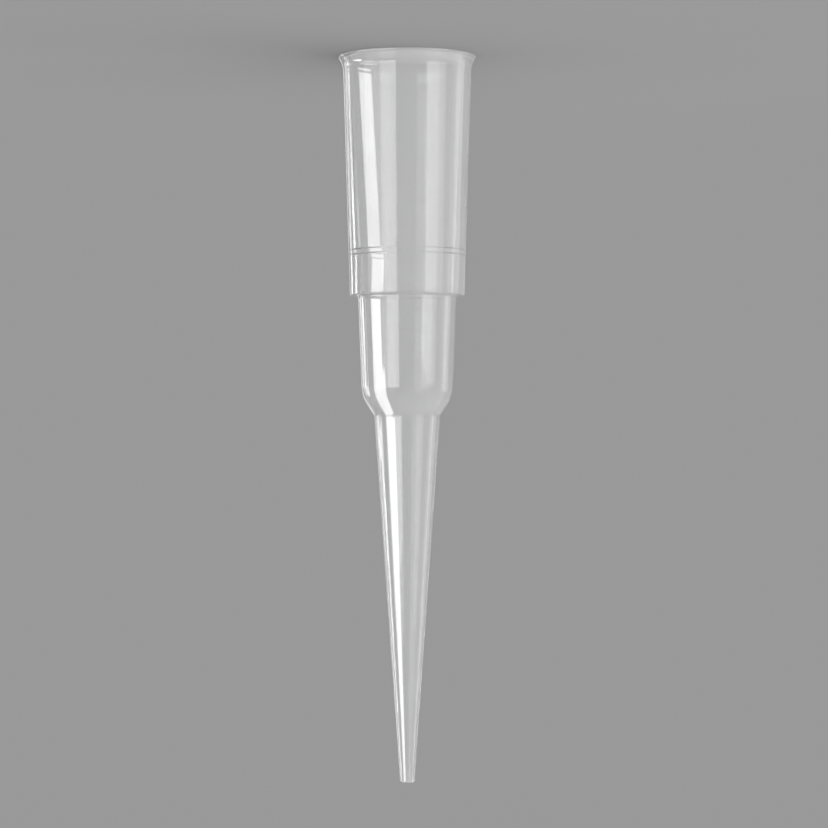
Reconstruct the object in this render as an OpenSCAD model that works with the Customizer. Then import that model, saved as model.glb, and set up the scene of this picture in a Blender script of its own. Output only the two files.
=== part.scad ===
// Pipette tip of the 200 microlitre class, moulded in one piece.
// It stands on its open mouth: z = 0 is the rim of the mouth, and the point is at the top.
// All sizes are in millimetres. Bores are given, and outsides follow from them by the walls.

/* [Length] */
// Length from the mouth rim to the point
tip_len = 45; // [38:0.5:60]
// Height of the collar, from the mouth rim to the ledge
collar_len = 14.9; // [13:0.1:18]
// Height of the barrel, from the ledge to the corner of the shoulder
barrel_len = 6.25; // [3:0.25:9]

/* [Bores] */
// Bore of the socket where the lead-in of the mouth ends
socket_d = 7.04; // [6.6:0.02:7.8]
// Bore of the seat that grips the pipette's nozzle
seat_d = 5.78; // [5.4:0.02:6]
// Bore of the barrel at the ledge
barrel_d = 5.32; // [4.8:0.02:5.38]
// Bore of the barrel at the shoulder
barrel_end_d = 4.84; // [4.4:0.02:5.2]
// Bore of the cone at the shoulder
cone_d = 3.32; // [2:0.02:3.6]
// Bore of the orifice at the point
orifice_d = 0.6; // [0.3:0.05:0.9]

/* [Walls] */
// Wall of the collar at the mouth
collar_wall = 0.46; // [0.3:0.01:0.6]
// Wall of the collar at the ledge, outside the seat
ledge_wall = 0.66; // [0.55:0.01:0.9]
// Wall of the barrel
barrel_wall = 0.38; // [0.2:0.01:0.42]
// Wall of the cone at the shoulder
cone_wall = 0.37; // [0.3:0.01:0.7]
// Wall at the orifice
point_wall = 0.14; // [0.12:0.01:0.4]

/* [Mouth] */
// How far the rim stands out past the collar
rim_width = 0.27; // [0.1:0.01:0.45]
// Height of the straight edge of the rim
rim_edge = 0.12; // [0.1:0.01:0.2]
// Height at which the flare of the rim meets the collar
flare_height = 0.6; // [0.5:0.05:0.9]
// Radius that blends the flare into the collar
flare_round = 1.5; // [0.5:0.1:1.6]
// Widening of the mouth at its lead-in, on each side
lead_in = 0.15; // [0.05:0.01:0.25]
// Height of the lead-in
lead_in_height = 0.7; // [0.4:0.05:1.5]

/* [Seat] */
// Height of the seat's straight bore
seat_len = 2.4; // [1.5:0.02:4]
// Height of the short cone from the seat to the barrel
seat_exit = 0.1; // [0.1:0.02:0.6]
// Number of fine sealing steps between the socket and the seat
step_count = 2; // [1:1:4]
// Height from one sealing step to the next
step_pitch = 0.3; // [0.2:0.02:0.5]
// How far each sealing step narrows the bore, on each side
step_depth = 0.065; // [0.02:0.005:0.12]
// Height of the slope that makes a sealing step
step_slope = 0.08; // [0.04:0.01:0.16]

/* [Shoulder] */
// Slope of the shoulder from the axis
shoulder_angle = 33; // [25:1:45]
// Radius that turns the barrel into the shoulder
shoulder_round = 2.3; // [0.5:0.1:2.6]
// Radius in the corner between the shoulder and the cone
foot_round = 0.3; // [0.1:0.05:0.6]

/* [Edges] */
// Rounding of the rim, the ledge and the seat
edge_round = 0.05; // [0.02:0.01:0.055]
// Radius in the corner under the ledge
ledge_fillet = 0.12; // [0.05:0.01:0.3]
// Rounding of the point
point_round = 0.05; // [0.02:0.01:0.055]

/* [Hidden] */
$fn = 128;
ARC_STEPS = 8;

// distances from the axis, outside
collar_r = socket_d / 2 + collar_wall;
rim_r = collar_r + rim_width;
ledge_r = seat_d / 2 + ledge_wall;
barrel_r = barrel_d / 2 + barrel_wall;
barrel_end_r = barrel_end_d / 2 + barrel_wall;
cone_r = cone_d / 2 + cone_wall;
point_r = orifice_d / 2 + point_wall;

// heights above the mouth rim
shoulder_z = collar_len + barrel_len;
shoulder_in_z = shoulder_z - barrel_wall * tan(shoulder_angle / 2);
foot_z = shoulder_z + (barrel_end_r - cone_r) / tan(shoulder_angle);
foot_in_z = shoulder_in_z + (barrel_end_d - cone_d) / 2 / tan(shoulder_angle);
seat_end_z = collar_len - seat_exit;
seat_z = seat_end_z - seat_len;

// the sealing steps, from the seat towards the mouth: the two corners of each slope
steps = [
    for (i = [0:step_count - 1])
        let (low_z = seat_z - i * step_pitch, near_r = seat_d / 2 + i * step_depth)
        each [[near_r, low_z, 0], [near_r + step_depth, low_z - step_slope, 0]]
];

// corners of the section, each as [distance from the axis, height, rounding]
outside = [
    [rim_r, 0, edge_round],
    [rim_r, rim_edge, edge_round],
    [collar_r, flare_height, flare_round],
    [ledge_r, collar_len, edge_round],
    [barrel_r, collar_len, ledge_fillet],
    [barrel_end_r, shoulder_z, shoulder_round],
    [cone_r, foot_z, foot_round],
    [point_r, tip_len, point_round]
];
bore_end = [
    [orifice_d / 2, tip_len, point_round],
    [cone_d / 2, foot_in_z, foot_round],
    [barrel_end_d / 2, shoulder_in_z, shoulder_round - barrel_wall],
    [barrel_d / 2, collar_len, 0],
    [seat_d / 2, seat_end_z, 0]
];
mouth_end = [
    [socket_d / 2, lead_in_height, 0],
    [socket_d / 2 + lead_in, 0, edge_round]
];

function spot(corner) = [corner[0], corner[1]];
function unit(v) = v / norm(v);
function turned(v, angle) = [
    v[0] * cos(angle) - v[1] * sin(angle),
    v[0] * sin(angle) + v[1] * cos(angle)
];

// the arc of radius r that rounds corner b between its neighbours a and c
function corner_arc(a, b, c, r) =
    let (
        to_a = unit(a - b),
        to_c = unit(c - b),
        half = acos(to_a * to_c) / 2,
        centre = b + unit(to_a + to_c) * r / sin(half),
        start = b + to_a * r / tan(half) - centre,
        turn = (90 - half) * 2 * sign(cross(c - b, a - b))
    )
    [for (i = [0:ARC_STEPS]) centre + turned(start, turn * i / ARC_STEPS)];

function rounded(corners) = let (n = len(corners)) [
    for (i = [0:n - 1])
        let (here = corners[i], before = corners[(i + n - 1) % n], after = corners[(i + 1) % n])
        each here[2] > 0
            ? corner_arc(spot(before), spot(here), spot(after), here[2])
            : [spot(here)]
];

module pipette_tip() {
    color([0.86, 0.88, 0.89])
        rotate_extrude()
            polygon(rounded(concat(outside, bore_end, steps, mouth_end)));
}

pipette_tip();
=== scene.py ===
"""A pipette tip of milky natural polypropylene, standing on its open mouth on a plain pale floor.

All lengths are in metres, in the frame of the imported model: +Z runs from the mouth to the point.
"""

import math
from collections import defaultdict

import bpy
from mathutils import Matrix, Vector


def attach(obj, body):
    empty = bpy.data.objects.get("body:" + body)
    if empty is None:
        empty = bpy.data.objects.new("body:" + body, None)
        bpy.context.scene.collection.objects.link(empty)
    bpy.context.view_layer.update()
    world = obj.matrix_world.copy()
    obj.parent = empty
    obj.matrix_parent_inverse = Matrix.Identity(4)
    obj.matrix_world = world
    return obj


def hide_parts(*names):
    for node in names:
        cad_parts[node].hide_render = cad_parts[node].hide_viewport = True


MM = 0.001

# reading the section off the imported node's seam: how close to y = 0 a vertex of the seam lies, and the
# digits to which two vertices have to agree to be the same point
ON_SEAM = 1e-8
SAME_POINT_DIGITS = 7

# the lathed skin: a turn between two steps below STRAIGHT is no turn, and one above SHARP is a corner
SEGMENTS = 256
STRAIGHT = math.radians(0.1)
SHARP = math.radians(15)
# neighbouring steps whose lengths differ by more than this factor don't belong to one arc
ARC_EVENNESS = 2
# how far from a corner its supporting point lies, the shortest step that gets one, and the longest step left
EDGE_SUPPORT = 0.02 * MM
SHORTEST_SUPPORTED = 4 * EDGE_SUPPORT
LONGEST_STEP = 0.8 * MM

# the plastic: tint, index, and the least and most of what the noise varies. Below a clear share of about
# 0.757 the renderer's denoiser takes the haze for a matt surface and smears what shows through it.
PLASTIC_TINT = 0.97
PLASTIC_INDEX = 1.49
ROUGHNESS = (0.02, 0.05)
CLEAR_SHARE = (0.757, 0.777)
NOISE = {"Scale": 420.0, "Detail": 3.0, "Roughness": 0.55}
# the walls past the ledge are thinner than the collar's and so a little clearer; the two heights lie on
# either side of the ledge
THIN_WALL_HEIGHTS = (14.6 * MM, 15.2 * MM)
THIN_WALL_CLEARER = 0.035
# what the plastic lets through to its own shadow
SHADOW_TINT = (0.86, 0.87, 0.87, 1)

# the camera stands in front of the tip, with the mouth at the top of its picture
CAMERA_DISTANCE = 202 * MM
CAMERA_HEIGHT = 26.5 * MM
AIM_HEIGHT = 22.24 * MM
AIM_ASIDE = 0.415 * MM
LENS = 141.7
CAMERA_CLIP = (0.01, 10)

# the level of the plain background, the even light from all round, and how pale the floor near the tip has
# to be to match the background in that light
BACKGROUND = 0.32
AMBIENT = 1.0
FLOOR_ALBEDO = 0.243
FLOOR_RADIUS = 2.0
FLOOR_SIDES = 64
# the floor is lit and shaded up to the first distance, and plain background from the second on
FLOOR_FADE = (10 * MM, 60 * MM)

# Upright lamps round the tip: (name, bearings from and to, lowest and highest elevation, radiance), in
# degrees as seen from the middle of the mouth. Bearing 0 is behind the camera and positive is on the
# picture's right. An elevation below 0 reaches under the floor, which reflected and refracted rays don't see.
LAMP_DISTANCE = 0.6
# These show in the plastic and light its haze. The strip straight behind makes the main band. It is in
# parts, because the band has its own level along each part of the tip and is weakest at the seat.
STRIPS = (
    ("strip_behind_mouth", -174.6, -168.2, -10, -5.2, 1.5),
    ("strip_behind_socket", -174.6, -168.2, -5.2, -4, 1.42),
    ("strip_behind_rings", -174.6, -168.2, -4, -2.9, 1.3),
    ("strip_behind_seat", -174.6, -168.2, -2.9, -1.85, 1.1),
    ("strip_behind_barrel", -174.6, -168.2, -1.85, 0, 1.75),
    ("strip_behind_cone", -175.6, -168.0, 0, 11, 1.6),
)
# these do so too, but are hidden from light that only passed through the plastic
PANELS = (
    ("panel_front_right", 36, 60, -20, 4, 2.6),
    ("panel_front_right_top", 36, 60, 4, 13, 1.0),
    ("panel_right", 60, 74, -20, 5, 1.4),
    ("panel_back_right", 100, 124, -20, 12, 1.0),
)
# these only show in the plastic, so that the haze keeps its darker side on the left
LEFT_STRIPS = (
    ("strip_back_left_barrel", -151, -140.5, -1.85, 3, 1.8),
    ("strip_back_left_cone", -143, -126, 3, 14, 1.35),
)
# these too, and they are hidden from light that only passed through the plastic
LEFT_PANELS = (
    ("strip_back_left_collar", -151, -140.5, -12, -1.85, 1.35),
    ("panel_left", -84, -51, -20, 12, 1.4),
    ("panel_front_left", -51, -21, -20, 12, 3.0),
)
# these only light the haze
FILLS = (
    ("fill_front", -20, 80, 0, 65, 0.8),
    ("fill_back_right", 95, 150, 0, 65, 1.4),
)
WHITE = (1, 1, 1, 1)
# a ray's depths are whole numbers, so this one parts a depth of 0 from the others
SOME_DEPTH = 0.5


# ---------------------------------------------------------------- nodes
def grey(level):
    """The colour of that level."""
    return (level, level, level, 1)


def emptied_tree(owner):
    """The node tree of a material, world or lamp, without its first nodes."""
    owner.use_nodes = True
    owner.node_tree.nodes.clear()
    return owner.node_tree


def add_node(tree, kind, settings=None, **inputs):
    """A node of that kind. Inputs are numbers, colours or another node's output. They go by socket name,
    or by socket number, such as _0 and _1, where the node's sockets share one name."""
    node = tree.nodes.new(kind)
    for key, value in (settings or {}).items():
        setattr(node, key, value)
    for key, value in inputs.items():
        name = int(key[1:]) if key[0] == "_" else key.replace("_", " ")
        if isinstance(value, bpy.types.NodeSocket):
            tree.links.new(value, node.inputs[name])
        else:
            node.inputs[name].default_value = value
    return node


def combined(tree, operation, first, second):
    """The output of a math node on two values."""
    return add_node(tree, "ShaderNodeMath", {"operation": operation}, _0=first, _1=second).outputs[0]


def mapped(tree, value, to, start=(0.0, 1.0), interpolation="LINEAR"):
    """The output of a node that carries the value from one span of numbers over to another."""
    node = add_node(
        tree,
        "ShaderNodeMapRange",
        {"interpolation_type": interpolation},
        Value=value,
        From_Min=start[0],
        From_Max=start[1],
        To_Min=to[0],
        To_Max=to[1],
    )
    return node.outputs["Result"]


def mixed(tree, share, first, second):
    """The output of a node that goes from the first shader to the second as the share goes from 0 to 1."""
    mix = add_node(tree, "ShaderNodeMixShader", _0=share, _1=first.outputs[0], _2=second.outputs[0])
    return mix.outputs[0]


# ---------------------------------------------------------------- the tip
def cad_section(node):
    """The node's section as a closed loop of (distance from the axis, height), read along its seam."""
    mesh = node.data
    seam = {
        v.index: (round(v.co.x, SAME_POINT_DIGITS), round(v.co.z, SAME_POINT_DIGITS))
        for v in mesh.vertices
        if abs(v.co.y) < ON_SEAM and v.co.x > 0
    }
    beside = defaultdict(set)
    for edge in mesh.edges:
        a, b = (seam.get(i) for i in edge.vertices)
        if a and b and a != b:
            beside[a].add(b)
            beside[b].add(a)
    start = max(beside)
    loop = [start, max(beside[start], key=lambda p: p[1])]
    while loop[-1] != start:
        loop.append(next(p for p in beside[loop[-1]] if p != loop[-2]))
    return loop[:-1]


def straightened(loop):
    """The loop without the points that lie on a straight stretch between two others."""
    kept = []
    for i, here in enumerate(loop):
        before, after = Vector(here) - Vector(loop[i - 1]), Vector(loop[(i + 1) % len(loop)]) - Vector(here)
        if before.angle(after) > STRAIGHT:
            kept.append(here)
    return kept


def is_corner(a, b):
    """Whether two steps meet at a corner or at the end of an arc, and not at a joint inside an arc."""
    return a.angle(b) > SHARP or not 1 / ARC_EVENNESS < a.length / b.length < ARC_EVENNESS


def with_supports(loop):
    """The loop with extra points, so that it shades smoothly: long steps are divided, and each step that ends
    at a corner gets a point close to that end."""
    points = [Vector(p) for p in loop]
    count = len(points)
    steps = [points[(i + 1) % count] - points[i] for i in range(count)]
    full = []
    for i, here in enumerate(points):
        step, before, after = steps[i], steps[i - 1], steps[(i + 1) % count]
        start, end = (EDGE_SUPPORT if is_corner(beside, step) else 0 for beside in (before, after))
        full.append(here)
        if step.length < SHORTEST_SUPPORTED:
            continue
        between = step.length - start - end
        parts = math.ceil(between / LONGEST_STEP)
        places = [start + between * k / parts for k in range(parts + 1)]
        full += [here + step * (p / step.length) for p in places if 0 < p < step.length]
    return full


def lathe(name, loop):
    """A closed skin: the loop of (distance, height) turned about Z."""
    count = len(loop)
    points = []
    for i in range(SEGMENTS):
        angle = 2 * math.pi * i / SEGMENTS
        c, s = math.cos(angle), math.sin(angle)
        points += [(p[0] * c, p[0] * s, p[1]) for p in loop]
    faces = []
    for i in range(SEGMENTS):
        here, there = i * count, (i + 1) % SEGMENTS * count
        for j in range(count):
            k = (j + 1) % count
            faces.append((here + j, there + j, there + k, here + k))
    mesh = bpy.data.meshes.new(name)
    mesh.from_pydata(points, [], faces)
    mesh.validate()
    mesh.shade_smooth()
    piece = bpy.data.objects.new(name, mesh)
    bpy.context.scene.collection.objects.link(piece)
    return piece


def polypropylene():
    """Milky natural polypropylene: a clear glossy wall with a haze that scatters part of the light."""
    material = bpy.data.materials.new("natural_polypropylene")
    tree = emptied_tree(material)
    place = add_node(tree, "ShaderNodeTexCoord").outputs["Object"]
    ray = add_node(tree, "ShaderNodeLightPath")
    noise = add_node(tree, "ShaderNodeTexNoise", Vector=place, **NOISE).outputs["Fac"]
    height = add_node(tree, "ShaderNodeSeparateXYZ", Vector=place).outputs["Z"]
    clearer = mapped(tree, height, (0.0, THIN_WALL_CLEARER), start=THIN_WALL_HEIGHTS)
    plastic = add_node(
        tree,
        "ShaderNodeBsdfPrincipled",
        Base_Color=grey(PLASTIC_TINT),
        IOR=PLASTIC_INDEX,
        Roughness=mapped(tree, noise, ROUGHNESS),
        Transmission_Weight=combined(tree, "ADD", mapped(tree, noise, CLEAR_SHARE), clearer),
    )
    shadow = add_node(tree, "ShaderNodeBsdfTransparent", Color=SHADOW_TINT)
    surface = mixed(tree, ray.outputs["Is Shadow Ray"], plastic, shadow)
    add_node(tree, "ShaderNodeOutputMaterial", Surface=surface)
    return material


# ---------------------------------------------------------------- the studio
def floor_material():
    """A matt floor round the tip that fades into the plain background further out."""
    material = bpy.data.materials.new("pale_floor")
    tree = emptied_tree(material)
    place = add_node(tree, "ShaderNodeTexCoord").outputs["Object"]
    away = add_node(tree, "ShaderNodeVectorMath", {"operation": "LENGTH"}, _0=place).outputs["Value"]
    far = mapped(tree, away, (0.0, 1.0), start=FLOOR_FADE, interpolation="SMOOTHSTEP")
    lit = add_node(tree, "ShaderNodeBsdfDiffuse", Color=grey(FLOOR_ALBEDO))
    plain = add_node(tree, "ShaderNodeEmission", Color=grey(BACKGROUND), Strength=1.0)
    add_node(tree, "ShaderNodeOutputMaterial", Surface=mixed(tree, far, lit, plain))
    return material


def make_floor():
    """The floor under the rim. It is left out of what shows in the plastic."""
    bpy.ops.mesh.primitive_circle_add(
        vertices=FLOOR_SIDES, radius=FLOOR_RADIUS, fill_type="NGON", location=(0, 0, 0)
    )
    floor = bpy.context.object
    floor.name = "floor"
    floor.data.materials.append(floor_material())
    floor.visible_glossy = floor.visible_transmission = False


def make_world():
    """The plain background for what is seen, directly or in the plastic, and the even light for the rest."""
    world = bpy.data.worlds.new("studio")
    tree = emptied_tree(world)
    ray = add_node(tree, "ShaderNodeLightPath")
    seen = combined(tree, "MAXIMUM", ray.outputs["Is Camera Ray"], ray.outputs["Is Glossy Ray"])
    seen = combined(tree, "MAXIMUM", seen, ray.outputs["Is Transmission Ray"])
    soft = add_node(tree, "ShaderNodeBackground", Color=WHITE, Strength=AMBIENT)
    plain = add_node(tree, "ShaderNodeBackground", Color=grey(BACKGROUND), Strength=1.0)
    add_node(tree, "ShaderNodeOutputWorld", Surface=mixed(tree, seen, soft, plain))
    bpy.context.scene.world = world


def hide_straight_through(light, radiance):
    """Gives the lamp the background's level for a ray that only passed through the plastic and was never
    reflected. A lamp's shader isn't told the kind of ray, so the ray's depths say it."""
    tree = emptied_tree(light)
    ray = add_node(tree, "ShaderNodeLightPath")
    passed_through = combined(tree, "GREATER_THAN", ray.outputs["Transmission Depth"], SOME_DEPTH)
    unreflected = combined(tree, "LESS_THAN", ray.outputs["Glossy Depth"], SOME_DEPTH)
    straight = combined(tree, "MULTIPLY", passed_through, unreflected)
    share = mapped(tree, straight, (1.0, BACKGROUND / radiance))
    glow = add_node(tree, "ShaderNodeEmission", Color=WHITE, Strength=share)
    add_node(tree, "ShaderNodeOutputLight", Surface=glow.outputs[0])


def make_lamp(name, start, end, low, high, radiance, shows=True, lights=True, seen_through=True):
    """An upright rectangular lamp that faces the tip. It shows in the plastic, lights its haze, or does both,
    and may be hidden from light that only passed through the plastic."""
    bearing = math.radians((start + end) / 2)
    bottom, top = (LAMP_DISTANCE * math.tan(math.radians(e)) for e in (low, high))
    spot = Vector((-math.sin(bearing), -math.cos(bearing), 0)) * LAMP_DISTANCE
    facing = -spot
    spot.z = (bottom + top) / 2
    width = 2 * LAMP_DISTANCE * math.tan(math.radians(end - start) / 2)
    light = bpy.data.lights.new(name, "AREA")
    light.shape = "RECTANGLE"
    light.size, light.size_y = width, top - bottom
    light.energy = radiance * math.pi * width * (top - bottom)
    lamp = bpy.data.objects.new(name, light)
    lamp.matrix_world = Matrix.Translation(spot) @ facing.to_track_quat("-Z", "Y").to_matrix().to_4x4()
    lamp.visible_camera = False
    lamp.visible_glossy = lamp.visible_transmission = shows
    lamp.visible_diffuse = lights
    if not seen_through:
        hide_straight_through(light, radiance)
    bpy.context.scene.collection.objects.link(lamp)


def make_lamps():
    """All the lamps, each group in its own manner."""
    for lamps, manner in (
        (STRIPS, {}),
        (PANELS, {"seen_through": False}),
        (LEFT_STRIPS, {"lights": False}),
        (LEFT_PANELS, {"lights": False, "seen_through": False}),
        (FILLS, {"shows": False}),
    ):
        for lamp in lamps:
            make_lamp(*lamp, **manner)


def make_camera():
    """The camera on the photo's side, turned upside down since the photo has the mouth at the top."""
    data = bpy.data.cameras.new("camera")
    data.lens = LENS
    data.clip_start, data.clip_end = CAMERA_CLIP
    camera = bpy.data.objects.new("camera", data)
    spot = Vector((0, -CAMERA_DISTANCE, CAMERA_HEIGHT))
    aim = Vector((-AIM_ASIDE, 0, AIM_HEIGHT))
    back = (spot - aim).normalized()
    up = Vector((0, 0, -1))
    right = up.cross(back).normalized()
    up = back.cross(right)
    turn = Matrix((right, up, back)).transposed()
    camera.matrix_world = Matrix.Translation(spot) @ turn.to_4x4()
    bpy.context.scene.collection.objects.link(camera)
    bpy.context.scene.camera = camera


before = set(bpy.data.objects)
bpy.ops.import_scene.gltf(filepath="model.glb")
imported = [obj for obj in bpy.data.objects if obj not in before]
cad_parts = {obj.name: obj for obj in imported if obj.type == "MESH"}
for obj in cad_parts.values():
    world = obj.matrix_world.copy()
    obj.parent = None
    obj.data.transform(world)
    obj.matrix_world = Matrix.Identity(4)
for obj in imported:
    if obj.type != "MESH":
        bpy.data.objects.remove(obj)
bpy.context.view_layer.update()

make_camera()
make_world()
make_floor()
make_lamps()

tip = lathe("tip_body", with_supports(straightened(cad_section(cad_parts["pipette_tip"]))))
tip.data.materials.append(polypropylene())
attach(tip, "root")
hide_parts("pipette_tip")

bpy.context.scene.view_settings.view_transform = "Standard"
